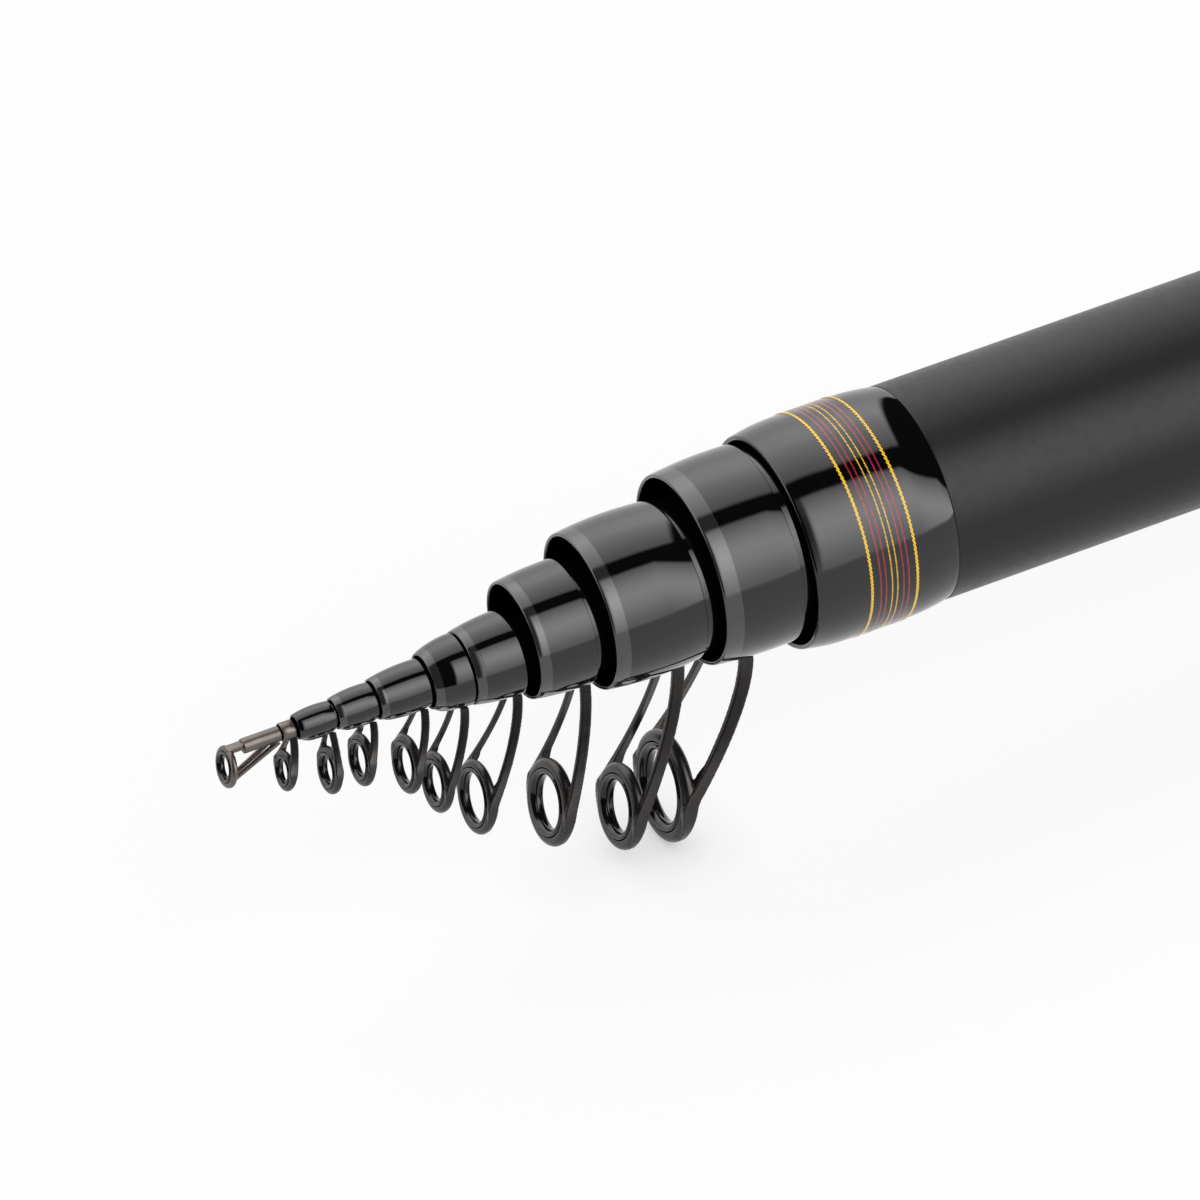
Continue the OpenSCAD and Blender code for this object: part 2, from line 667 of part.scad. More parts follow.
// The small guide that floats on the tip blank: sleeve, two legs and ring holder
module floating_guide_frame() {
  seat_r = float_hole_r + small_insert_t;
  out_r = seat_r + small_holder_t;
  sleeve_x = rest_gap;
  ring = [float_ring_x, 0, -float_drop];
  foot = [sleeve_x + float_leg_w / 2, float_out / 2, -float_out * 0.7];
  color("#4a4440")
    translate([lip_x(0), 0, axis_z(0)])
      difference() {
        union() {
          turned([[0, sleeve_x], [float_out, sleeve_x], [float_out, sleeve_x + float_len],
            [0, sleeve_x + float_len]]);
          translate(ring)
            ring_holder(seat_r, small_holder_t, small_ring_lean);
          for (side = [0, 1])
            mirror([0, side, 0])
              guide_leg(ring, out_r, foot, float_leg_w, float_leg_t);
        }
        rotate([0, 90, 0])
          cylinder(r = float_bore, h = sleeve_x + float_len + 1);
        translate(ring)
          rotate([0, 90 - small_ring_lean, 0])
            cylinder(r = seat_r, h = 4 * small_holder_t, center = true);
      }
}

// The ceramic ring of the floating guide
module floating_guide_ring() {
  color("#0c0d0f")
    translate([lip_x(0) + float_ring_x, 0, axis_z(0) - float_drop])
      ceramic_ring(float_hole_r, small_insert_t, small_holder_t, small_ring_lean);
}

butt_tube();
butt_collar();
gold_thread();
red_thread();
reel_seat_plate();
fixed_hood();
front_binding();
rear_binding();
sliding_hood();
lever_pin();
lock_lever();
bumper();
butt_cap();
cap_pad();
for (s = [0:LAST]) {
  section_tube(s);
  section_collar(s);
  guide_frame(s);
  guide_ring(s);
}
tip_blank();
tip_top_frame();
tip_top_ring();
floating_guide_frame();
floating_guide_ring();
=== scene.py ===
import math

import bpy
from mathutils import Matrix, Vector


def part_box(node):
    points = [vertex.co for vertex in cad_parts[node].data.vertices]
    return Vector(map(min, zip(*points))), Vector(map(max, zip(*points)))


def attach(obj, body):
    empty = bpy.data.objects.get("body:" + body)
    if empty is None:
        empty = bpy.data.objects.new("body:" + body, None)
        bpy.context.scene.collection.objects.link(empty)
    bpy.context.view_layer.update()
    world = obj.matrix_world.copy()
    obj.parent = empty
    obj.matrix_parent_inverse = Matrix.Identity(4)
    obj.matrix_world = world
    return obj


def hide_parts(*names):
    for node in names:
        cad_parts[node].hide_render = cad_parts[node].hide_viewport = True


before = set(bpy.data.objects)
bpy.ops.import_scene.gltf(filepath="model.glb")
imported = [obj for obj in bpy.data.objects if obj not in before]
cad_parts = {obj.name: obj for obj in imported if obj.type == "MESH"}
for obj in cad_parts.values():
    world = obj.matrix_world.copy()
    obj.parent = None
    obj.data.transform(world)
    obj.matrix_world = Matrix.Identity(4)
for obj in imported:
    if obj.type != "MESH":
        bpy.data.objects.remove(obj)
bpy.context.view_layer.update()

mm = 0.001

# The butt tube: a wound carbon tube with a matte dark grey lacquer, plain all over.
# It is turned from one outline, a straight grip at the rear and a long slow taper
# towards the collar, with the bore that takes the eight nested sections.

WELD = 0.001 * mm


# A piece starts as one point, is drawn on edge by edge, and is then spun or extruded.
def first_point(name, point):
    bpy.ops.object.select_all(action="DESELECT")
    bpy.ops.mesh.primitive_plane_add(size=mm, location=(0, 0, 0))
    piece = bpy.context.object
    piece.name = name
    piece.data.name = name
    bpy.ops.object.mode_set(mode="EDIT")
    bpy.ops.mesh.merge(type="CENTER")
    bpy.ops.transform.translate(value=point)
    return piece


def draw_on(points):
    for here, there in zip(points, points[1:]):
        bpy.ops.mesh.extrude_region_move(TRANSFORM_OT_translate={"value": there - here})


def close_up():
    bpy.ops.mesh.select_all(action="SELECT")
    bpy.ops.mesh.remove_doubles(threshold=WELD)
    bpy.ops.mesh.normals_make_consistent(inside=False)
    bpy.ops.object.mode_set(mode="OBJECT")


def turned(name, outline, axis_z, steps, edge=40):
    points = [Vector((x, 0, axis_z + r)) for x, r in outline]
    piece = first_point(name, points[0])
    draw_on(points + points[:1])
    bpy.ops.mesh.select_all(action="SELECT")
    bpy.ops.mesh.spin(steps=steps, angle=math.tau, center=(0, 0, axis_z), axis=(1, 0, 0))
    close_up()
    bpy.ops.object.shade_smooth_by_angle(angle=math.radians(edge))
    return piece


def rounded(x, r, radius, start, end, count):
    turns = [math.radians(start + (end - start) * i / count) for i in range(count + 1)]
    return [(x + radius * math.cos(a), r + radius * math.sin(a)) for a in turns]


def tree(owner):
    return owner.node_tree.nodes, owner.node_tree.links


def finish(name, color, roughness, metallic=0.0, ior=1.5, specular=0.5):
    material = bpy.data.materials.new(name)
    material.use_nodes = True
    shader = material.node_tree.nodes["Principled BSDF"]
    shader.inputs["Base Color"].default_value = (*color, 1)
    shader.inputs["Roughness"].default_value = roughness
    shader.inputs["Metallic"].default_value = metallic
    shader.inputs["IOR"].default_value = ior
    shader.inputs["Specular IOR Level"].default_value = specular
    return material, shader


def grain(material, scale, stretch=(1, 1, 1), detail=3.0):
    nodes, links = tree(material)
    place = nodes.new("ShaderNodeTexCoord")
    mapping = nodes.new("ShaderNodeMapping")
    mapping.inputs["Scale"].default_value = stretch
    noise = nodes.new("ShaderNodeTexNoise")
    noise.inputs["Scale"].default_value = scale
    noise.inputs["Detail"].default_value = detail
    links.new(place.outputs["Object"], mapping.inputs["Vector"])
    links.new(mapping.outputs["Vector"], noise.inputs["Vector"])
    return noise.outputs["Fac"]


def vary(material, socket, source, low, high, start=0.35, stop=0.65):
    nodes, links = tree(material)
    spread = nodes.new("ShaderNodeMapRange")
    spread.inputs["From Min"].default_value = start
    spread.inputs["From Max"].default_value = stop
    spread.inputs["To Min"].default_value = low
    spread.inputs["To Max"].default_value = high
    links.new(source, spread.inputs["Value"])
    links.new(spread.outputs["Result"], socket)


def tint(material, socket, source, dark, light, start=0.35, stop=0.65):
    nodes, links = tree(material)
    ramp = nodes.new("ShaderNodeValToRGB")
    ramp.color_ramp.elements[0].position = start
    ramp.color_ramp.elements[0].color = (*dark, 1)
    ramp.color_ramp.elements[1].position = stop
    ramp.color_ramp.elements[1].color = (*light, 1)
    links.new(source, ramp.inputs["Fac"])
    links.new(ramp.outputs["Color"], socket)


def relief(material, shader, source, depth, strength):
    nodes, links = tree(material)
    bump = nodes.new("ShaderNodeBump")
    bump.inputs["Distance"].default_value = depth
    bump.inputs["Strength"].default_value = strength
    links.new(source, bump.inputs["Height"])
    links.new(bump.outputs["Normal"], shader.inputs["Normal"])


butt_lacquer, shader = finish("butt_lacquer", (0.0105, 0.0107, 0.0114), 0.38, specular=0.25)
tint(butt_lacquer, shader.inputs["Base Color"], grain(butt_lacquer, 60),
     (0.0096, 0.0098, 0.0105), (0.0114, 0.0116, 0.0123))
vary(butt_lacquer, shader.inputs["Roughness"], grain(butt_lacquer, 900), 0.35, 0.41)
relief(butt_lacquer, shader, grain(butt_lacquer, 5000, detail=1.0), 0.02 * mm, 0.35)

BUTT_STEPS, MOUTH = 160, 45 * mm
butt_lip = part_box("butt_tube")[1].x
collar_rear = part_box("butt_collar")[0].x
grip_r, grip_len, rear_bore, rear_len = 14.0 * mm, 190 * mm, 13.5 * mm, 61 * mm
butt_front_r, butt_seat_r, butt_bore = 13.8 * mm, 13.35 * mm, 13.05 * mm
butt_rim, butt_step = butt_lip - 0.35 * mm, collar_rear - 0.03 * mm
front_long, front_deep, rear_long, rear_deep = 0.07 * mm, 0.04 * mm, 0.3 * mm, 0.2 * mm
butt = turned("butt_blank", [
    (butt_rim, butt_bore), (butt_rim, butt_seat_r), (butt_step, butt_seat_r),
    (butt_step, butt_front_r - front_deep), (butt_step - front_long, butt_front_r),
    (grip_len, grip_r), (rear_long, grip_r), (0, grip_r - rear_deep),
    (0, rear_bore), (rear_len, rear_bore), (butt_lip - MOUTH, butt_bore)], 0, BUTT_STEPS, edge=25)
butt.data.materials.append(butt_lacquer)
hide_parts("butt_tube")
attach(butt, "butt")

# The butt's front collar: built up in gloss black lacquer over the tube's mouth.
# It rises from a rounded lip to the crown, where the threads lie sunk in the lacquer,
# then rolls down to the matte tube behind it.

gloss_lacquer, shader = finish("gloss_lacquer", (0.0016, 0.0016, 0.0019), 0.03, ior=1.54)
vary(gloss_lacquer, shader.inputs["Roughness"], grain(gloss_lacquer, 220), 0.02, 0.045)
relief(gloss_lacquer, shader, grain(gloss_lacquer, 420, (0.5, 1, 1)), 0.02 * mm, 0.03)

lip_gunmetal, shader = finish("lip_gunmetal", (0.017, 0.016, 0.015), 0.07, ior=1.71)
tint(lip_gunmetal, shader.inputs["Base Color"], grain(lip_gunmetal, 9000, detail=1.0),
     (0.0135, 0.0126, 0.0117), (0.021, 0.0198, 0.0186))
vary(lip_gunmetal, shader.inputs["Roughness"], grain(lip_gunmetal, 300), 0.05, 0.1)
relief(lip_gunmetal, shader, grain(lip_gunmetal, 9000, detail=1.0), 0.005 * mm, 0.1)

SKIN = 0.02 * mm
lip_r, crown_r = 13.7 * mm, 14.32 * mm
nose_len, land_len, land_bulge = 5.7 * mm, 8.6 * mm, 0.2 * mm
land_front = butt_lip - nose_len
land_rear = land_front - land_len
lip_round = (lip_r - butt_bore) / 2
nose_front, roll_end = butt_lip - lip_round, collar_rear + 0.06 * mm
roll_curve, roll_tuck = 1.6, 0.05 * mm
nose = [(nose_front - (nose_front - land_front) * t, lip_r + (crown_r - lip_r) * t * (2 - t))
        for t in [i / 10 for i in range(1, 11)]]
land = [(land_front - land_len * t, crown_r + land_bulge * t * (1 - t)) for t in [i / 8 for i in range(1, 8)]]
roll = [(land_rear - (land_rear - roll_end) * t,
         butt_front_r + (crown_r - butt_front_r) * (1 - t ** roll_curve))
        for t in [i / 12 for i in range(12)]]
collar_seat, collar_back = butt_seat_r + SKIN, collar_rear + SKIN
butt_collar = turned("butt_front_collar", [
    *rounded(nose_front, butt_bore + lip_round, lip_round, -90, 90, count=8), *nose, *land, *roll,
    (collar_back, butt_front_r - roll_tuck), (collar_back, collar_seat),
    (butt_rim + SKIN, collar_seat), (butt_rim + SKIN, butt_bore)], 0, BUTT_STEPS, edge=50)
butt_collar.data.materials.append(gloss_lacquer)
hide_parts("butt_collar")
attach(butt_collar, "butt")

# The threads on the collar: a twisted gold turn at each end of the band, red pairs
# inside them and a fine gold pair in the middle, wound flat and sunk in the lacquer.
# Each winding steps on only under the rod, where its ends are tucked in.

thread_d, cord_d, thread_r = 0.24 * mm, 0.44 * mm, 14.35 * mm
winding_mid = (land_front + land_rear) / 2
winding_step, thread_pitch, cord_pitch = 1.55 * mm, 0.72 * mm, 0.95 * mm
cord_places = winding_mid - 2 * winding_step, winding_mid + 2 * winding_step
red_places = winding_mid - winding_step, winding_mid + winding_step
cord_twists, fine_twists, plain_count = 76, 130, 120
STEP_FROM, STEP_SHARE = 0.35, 0.3
TWIST_POINTS, FLATNESS = 8, 0.5


def winding_line(x, turns, pitch, count):
    line = []
    for i in range(turns * count + 1):
        t = 0.5 + i / count
        k = min(1, max(0, (t - math.floor(t) - STEP_FROM) / STEP_SHARE))
        along = x + pitch * (math.floor(t) + k * k * (3 - 2 * k) - (turns + 1) / 2)
        line.append((along, thread_r, math.tau * t))
    return line


def strand(name, line, d):
    bpy.ops.object.select_all(action="DESELECT")
    bpy.ops.curve.primitive_nurbs_path_add(location=(0, 0, 0))
    thread = bpy.context.object
    thread.name = name
    shape = thread.data
    shape.splines.clear()
    spline = shape.splines.new("POLY")
    spline.points.add(len(line) - 1)
    for point, (x, r, a) in zip(spline.points, line):
        point.co = (x, r * math.sin(a), r * math.cos(a), 1)
    shape.dimensions = "3D"
    shape.bevel_depth = d / 2
    shape.bevel_resolution = 1
    shape.use_fill_caps = True
    bpy.ops.object.convert(target="MESH")
    return bpy.context.object


def twisted(name, x, turns, pitch, d, twists):
    plies = []
    core = winding_line(x, turns, pitch, twists * TWIST_POINTS)
    for ply in (0, math.pi):
        line = []
        for i, (x0, r0, a) in enumerate(core):
            twist = math.tau * i / TWIST_POINTS + ply
            line.append((x0 + d / 4 * math.cos(twist), r0 + d / 4 * math.sin(twist), a))
        plies.append(strand(name, line, d / 2))
    return plies


def joined(name, objects):
    bpy.ops.object.select_all(action="DESELECT")
    for each in objects:
        each.select_set(True)
    bpy.context.view_layer.objects.active = objects[0]
    bpy.ops.object.join()
    piece = bpy.context.object
    piece.name = name
    piece.data.name = name
    return piece


def math_node(owner, operation, first, second=0.0):
    nodes, links = tree(owner)
    step = nodes.new("ShaderNodeMath")
    step.operation = operation
    for socket, value in zip(step.inputs, (first, second)):
        if isinstance(value, float):
            socket.default_value = value
        else:
            links.new(value, socket)
    return step.outputs["Value"]


# The lacquer over a thread takes the collar's own normal, straight out from the axis.
def under_lacquer(material, shader):
    nodes, links = tree(material)
    place = nodes.new("ShaderNodeTexCoord")
    across = nodes.new("ShaderNodeVectorMath")
    across.operation = "MULTIPLY"
    across.inputs[1].default_value = (0, 1, 1)
    outward = nodes.new("ShaderNodeVectorTransform")
    outward.vector_type = "NORMAL"
    outward.convert_from = "OBJECT"
    outward.convert_to = "WORLD"
    links.new(place.outputs["Object"], across.inputs[0])
    links.new(across.outputs["Vector"], outward.inputs["Vector"])
    links.new(outward.outputs["Vector"], shader.inputs["Coat Normal"])
    shader.inputs["Coat Weight"].default_value = 0.8
    shader.inputs["Coat Roughness"].default_value = 0.03


# Painted shade in the slanted grooves between the plies of a twisted cord: near 0 in the groove, where the
# gold is darkened.
def cord_groove_shade(material, x, d, twists):
    nodes, links = tree(material)
    place = nodes.new("ShaderNodeTexCoord")
    axes = nodes.new("ShaderNodeSeparateXYZ")
    links.new(place.outputs["Object"], axes.inputs["Vector"])
    turn = math_node(material, "ARCTAN2", axes.outputs["Y"], axes.outputs["Z"])
    slant = math_node(material, "MULTIPLY", math_node(material, "SUBTRACT", axes.outputs["X"], x), 4 / d)
    twist = math_node(material, "ADD", math_node(material, "MULTIPLY", turn, float(twists)), slant)
    return math_node(material, "ABSOLUTE", math_node(material, "SINE", twist))


gold, shader = finish("gold_thread", (0.85, 0.5, 0.02), 0.4, specular=0.2)
under_lacquer(gold, shader)
# The gold is darkened in the grooves between its plies: painted shade, running from the shaded groove to the
# lit ply.
tint(gold, shader.inputs["Base Color"], cord_groove_shade(gold, cord_places[1], cord_d, cord_twists),
     (0.16, 0.075, 0.003), (1.0, 0.6, 0.025), 0.12, 0.55)
red, shader = finish("red_thread", (0.3, 0.02, 0.035), 0.4, specular=0.2)
under_lacquer(red, shader)
tint(red, shader.inputs["Base Color"], grain(red, 2600), (0.2, 0.006, 0.018), (0.36, 0.014, 0.032))

gold_turns = [ply for x in cord_places for ply in twisted("gold", x, 1, cord_pitch, cord_d, cord_twists)]
gold_turns += twisted("gold", winding_mid, 2, thread_pitch, thread_d, fine_twists)
gold_winding = joined("gold_winding", gold_turns)
gold_winding.data.materials.append(gold)
red_turns = [strand("red", winding_line(x, 2, thread_pitch, plain_count), thread_d) for x in red_places]
red_winding = joined("red_winding", red_turns)
red_winding.data.materials.append(red)
for winding, node in ((gold_winding, "gold_thread"), (red_winding, "red_thread")):
    bpy.ops.object.select_all(action="DESELECT")
    winding.select_set(True)
    bpy.context.view_layer.objects.active = winding
    for corner in winding.data.vertices:
        r = math.hypot(corner.co.y, corner.co.z)
        flat = (thread_r + (r - thread_r) * FLATNESS) / r
        corner.co = (corner.co.x, corner.co.y * flat, corner.co.z * flat)
    bpy.ops.object.shade_smooth()
    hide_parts(node)
    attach(winding, "butt")

# The reel seat under the butt: a brushed steel plate bent to the tube, on it a fixed
# hood, and a sliding hood with its lock lever on a pin, painted black. Wound and
# lacquered bindings hold the two thin ends of the plate.


def softened(name, node, width, segments=2):
    bpy.ops.object.select_all(action="DESELECT")
    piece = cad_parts[node].copy()
    piece.data = piece.data.copy()
    piece.data.materials.clear()
    piece.parent = None
    piece.name = name
    piece.data.name = name
    bpy.context.collection.objects.link(piece)
    piece.select_set(True)
    bpy.context.view_layer.objects.active = piece
    bpy.ops.object.mode_set(mode="EDIT")
    bpy.ops.mesh.select_all(action="SELECT")
    bpy.ops.mesh.remove_doubles(threshold=2e-6)
    bpy.ops.mesh.dissolve_limited(angle_limit=math.radians(0.5))
    bpy.ops.object.mode_set(mode="OBJECT")
    edge = piece.modifiers.new("edges", "BEVEL")
    edge.width = width
    edge.segments = segments
    edge.limit_method = "ANGLE"
    edge.angle_limit = math.radians(40)
    edge.use_clamp_overlap = True
    bpy.ops.object.modifier_apply(modifier="edges")
    bpy.ops.object.shade_smooth_by_angle(angle=math.radians(35))
    return piece


seat_steel, shader = finish("seat_steel", (0.20, 0.20, 0.21), 0.34, metallic=0.9)
brushed = grain(seat_steel, 400, (0.05, 1, 1), detail=6.0)
tint(seat_steel, shader.inputs["Base Color"], brushed, (0.15, 0.15, 0.16), (0.26, 0.26, 0.27))
vary(seat_steel, shader.inputs["Roughness"], brushed, 0.28, 0.42)
relief(seat_steel, shader, brushed, 0.02 * mm, 0.2)
hood_paint, shader = finish("hood_paint", (0.022, 0.023, 0.025), 0.3)
vary(hood_paint, shader.inputs["Roughness"], grain(hood_paint, 700), 0.24, 0.38)
relief(hood_paint, shader, grain(hood_paint, 2200), 0.02 * mm, 0.25)
bound_thread, shader = finish("bound_thread", (0.008, 0.008, 0.009), 0.08, ior=1.54)
nodes, links = tree(bound_thread)
place = nodes.new("ShaderNodeTexCoord")
turns = nodes.new("ShaderNodeTexWave")
turns.bands_direction = "X"
bound_pitch, waves_per_unit = 0.3 * mm, 20
turns.inputs["Scale"].default_value = 1 / bound_pitch / waves_per_unit
turns.inputs["Distortion"].default_value = 0.4
links.new(place.outputs["Object"], turns.inputs["Vector"])
relief(bound_thread, shader, turns.outputs["Fac"], 0.05 * mm, 0.35)
vary(bound_thread, shader.inputs["Roughness"], grain(bound_thread, 500), 0.05, 0.14)

for name, node, width, material, slot, body in (
        ("seat_plate", "reel_seat_plate", 0.2 * mm, seat_steel, "seat_metal", "butt"),
        ("front_hood", "fixed_hood", 0.3 * mm, hood_paint, "hood_paint", "butt"),
        ("rear_hood", "sliding_hood", 0.3 * mm, hood_paint, "hood_paint", "sliding_hood"),
        ("hood_pin", "lever_pin", 0.2 * mm, seat_steel, "seat_metal", "sliding_hood"),
        ("hood_lever", "lock_lever", 0.3 * mm, hood_paint, "hood_paint", "lock_lever"),
        ("ahead_binding", "front_binding", 0.15 * mm, bound_thread, "binding_lacquer", "butt"),
        ("behind_binding", "rear_binding", 0.15 * mm, bound_thread, "binding_lacquer", "butt")):
    piece = softened(name, node, width)
    piece.data.materials.append(material)
    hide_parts(node)
    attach(piece, body)

# The butt end: a black anodised screw cap with finger notches, a rubber pad let into
# it, and on its inner post the soft bumper that the nested sections rest on.

anodised, shader = finish("anodised_cap", (0.045, 0.046, 0.049), 0.3, metallic=0.8)
turning = grain(anodised, 3500, (1, 0.02, 0.02), detail=2.0)
tint(anodised, shader.inputs["Base Color"], turning, (0.032, 0.033, 0.036), (0.06, 0.061, 0.065))
relief(anodised, shader, turning, 0.01 * mm, 0.3)
rubber, shader = finish("pad_rubber", (0.016, 0.016, 0.016), 0.65)
vary(rubber, shader.inputs["Roughness"], grain(rubber, 800), 0.55, 0.8)
relief(rubber, shader, grain(rubber, 2600), 0.05 * mm, 0.4)
for name, node, width, material, slot, body in (
        ("screw_cap", "butt_cap", 0.35 * mm, anodised, "cap_metal", "butt_cap"),
        ("end_pad", "cap_pad", 0.5 * mm, rubber, "pad_rubber", "butt_cap"),
        ("rest_bumper", "bumper", 0.5 * mm, rubber, "pad_rubber", "bumper")):
    piece = softened(name, node, width, segments=3)
    piece.data.materials.append(material)
    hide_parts(node)
    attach(piece, body)

# The eight nested sections: thin carbon tubes in gloss black lacquer, each with a
# straight mouth, a slow taper and a straight rear end. Only a short neck of each
# shows ahead of the next lip while the rod is closed.

sections = {
    2: {"lip": 12.2, "bore": 11.7, "neck": 12.0, "rear": 12.9, "shoulder": 12.65, "swell": 0.45, "band": 2.2},
    3: {"lip": 10, "bore": 9.55, "neck": 9.85, "rear": 11.55, "shoulder": 10.15, "swell": 0.45, "band": 1.8},
    4: {"lip": 7.5, "bore": 7.1, "neck": 7.35, "rear": 9.4, "shoulder": 8.0, "swell": 0.40, "band": 1.4},
    5: {"lip": 4.7, "bore": 4.4, "neck": 4.6, "rear": 6.95, "shoulder": 5.35, "swell": 0.50, "band": 1.1},
    6: {"lip": 3.6, "bore": 3.3, "neck": 3.5, "rear": 4.25, "shoulder": 4.57, "swell": 0.72, "band": 1.0},
    7: {"lip": 2.6, "bore": 2.35, "neck": 2.5, "rear": 3.15, "shoulder": 3.05, "swell": 0.42, "band": 0.9},
    8: {"lip": 2.0, "bore": 1.75, "neck": 1.9, "rear": 2.2, "shoulder": 2.3, "swell": 0.35, "band": 0.9},
    9: {"lip": 1.6, "bore": 1.35, "neck": 1.5, "rear": 1.6, "shoulder": 1.78, "swell": 0.3, "band": 0},
}
section_steps = {number: 128 if number < 6 else 80 for number in sections}
TUBE_GAP, TUBE_EDGE = 0.05 * mm, 0.2 * mm
for number, size in sections.items():
    low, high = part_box("tube_%d" % number)
    axis_z = (low.z + high.z) / 2
    bore, neck, rear = size["bore"] * mm, size["neck"] * mm, size["rear"] * mm
    wall = neck - bore
    mouth = high.x - wall - TUBE_GAP
    tube = turned("blank_%d" % number, [
        (mouth, bore), (mouth, neck), (high.x - MOUTH, neck), (low.x + MOUTH, rear),
        (low.x + TUBE_EDGE, rear), (low.x, rear - wall / 2), (low.x, rear - wall),
        (low.x + MOUTH, rear - wall), (high.x - MOUTH, bore)], axis_z, section_steps[number], edge=30)
    tube.data.materials.append(gloss_lacquer)
    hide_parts("tube_%d" % number)
    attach(tube, "section_%d" % number)

# The barrel collars at the mouths of the sections: gloss black lacquer built up over
# the tube, turned over its rim in a thin round lip. All but the thinnest have a
# narrow gunmetal band along the lip.

BARREL_ROWS = 24
EDGE_ROUND, EDGE_HOLD, BAND_CLEAR, LIP_GAP = 0.06 * mm, 0.04 * mm, 0.08 * mm, 0.03 * mm


# A barrel's outline is a parabola through its lip, its middle and its shoulder.
def collar_radius(number, share):
    size = sections[number]
    a, m, b = size["lip"], size["lip"] + size["swell"], size["shoulder"]
    t = min(1, max(0, share))
    return (a * (1 - t) * (1 - 2 * t) + 4 * m * t * (1 - t) + b * t * (2 * t - 1)) * mm


for number, size in sections.items():
    low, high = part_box("collar_%d" % number)
    axis_z = sum(corner.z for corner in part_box("tube_%d" % number)) / 2
    bore, neck = size["bore"] * mm, size["neck"] * mm
    shoulder, band = size["shoulder"] * mm, size["band"] * mm
    length = high.x - low.x
    lip_round = (size["lip"] * mm - bore) / 2
    edge_round = min(EDGE_ROUND, (shoulder - neck) / 2)
    barrel = length - lip_round - edge_round
    backs = [lip_round + barrel * i / BARREL_ROWS for i in range(1, BARREL_ROWS + 1)]
    backs.insert(-1, backs[-1] - EDGE_HOLD)
    if band:
        backs = sorted([b for b in backs if abs(b - band) > BAND_CLEAR] + [band])
    seat = neck + SKIN
    inner_lip = high.x - (neck - bore) - LIP_GAP
    collar = turned("barrel_%d" % number, [
        *rounded(high.x - lip_round, bore + lip_round, lip_round, -90, 90, count=8),
        *[(high.x - b, collar_radius(number, b / length)) for b in backs],
        *rounded(low.x + edge_round, shoulder - edge_round, edge_round, 90, 180, count=4)[1:],
        (low.x, seat), (inner_lip, seat), (inner_lip, bore)], axis_z, section_steps[number], edge=50)
    collar.data.materials.append(gloss_lacquer)
    collar.data.materials.append(lip_gunmetal)
    for face in collar.data.polygons:
        if band and face.center.x > high.x - band:
            face.material_index = 1
    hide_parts("collar_%d" % number)
    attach(collar, "section_%d" % number)

# The line guides: a stamped gunmetal frame with a rolled rim, two bowed legs that run
# into the rim's sides, and a thin foot bent to the collar and bonded under it.
# A polished black ceramic ring is pressed into each rim.

gunmetal, shader = finish("guide_gunmetal", (0.045, 0.0414, 0.0394), 0.29, metallic=0.85)
tint(gunmetal, shader.inputs["Base Color"], grain(gunmetal, 900),
     (0.042, 0.0385, 0.0365), (0.048, 0.0443, 0.0423))
vary(gunmetal, shader.inputs["Roughness"], grain(gunmetal, 700), 0.26, 0.32)
relief(gunmetal, shader, grain(gunmetal, 1500), 0.01 * mm, 0.05)
ceramic, shader = finish("ring_ceramic", (0.004, 0.004, 0.0045), 0.1, specular=0.4)
vary(ceramic, shader.inputs["Roughness"], grain(ceramic, 1200), 0.07, 0.15)
relief(ceramic, shader, grain(ceramic, 5000), 0.004 * mm, 0.06)

RIM_DEPTH, RIM_EDGE, RIM_STEPS = 0.65, 0.08, 96
LEG_STEPS, LEG_ROOT, LEG_TWIST = 40, 0.9, math.radians(20)
LEG_FLARE, LEG_POINT, LEG_STOUT = 0.3, 0.6, 1.1
FOOT_GAP, FOOT_DEPTH = 0.03 * mm, 0.6
WEB_LENGTH, WEB_FADE = 0.65, 4
SADDLE_T, SADDLE_EDGE, SADDLE_SIDE = 0.35 * mm, 0.15, 0.85
RING_PROUD, RING_GAP = 0.15 * mm, 0.03 * mm


def leaned(piece, center, degrees):
    bpy.ops.object.mode_set(mode="EDIT")
    bpy.ops.mesh.select_all(action="SELECT")
    bpy.ops.transform.rotate(value=math.radians(degrees), orient_axis="Y", center_override=center)
    bpy.ops.object.mode_set(mode="OBJECT")
    return piece


def rim(name, center, seat, thickness, lean):
    half = thickness * RIM_DEPTH
    core = seat + thickness - half
    outline = [(-half * (1 - RIM_EDGE), seat), (-half, seat + half * RIM_EDGE),
               *[(-half * math.cos(a), core + half * math.sin(a))
                 for a in [math.pi * i / 14 for i in range(15)]],
               (half, seat + half * RIM_EDGE), (half * (1 - RIM_EDGE), seat)]
    return leaned(turned(name, [(center.x + x, r) for x, r in outline], center.z, RIM_STEPS), center, lean)


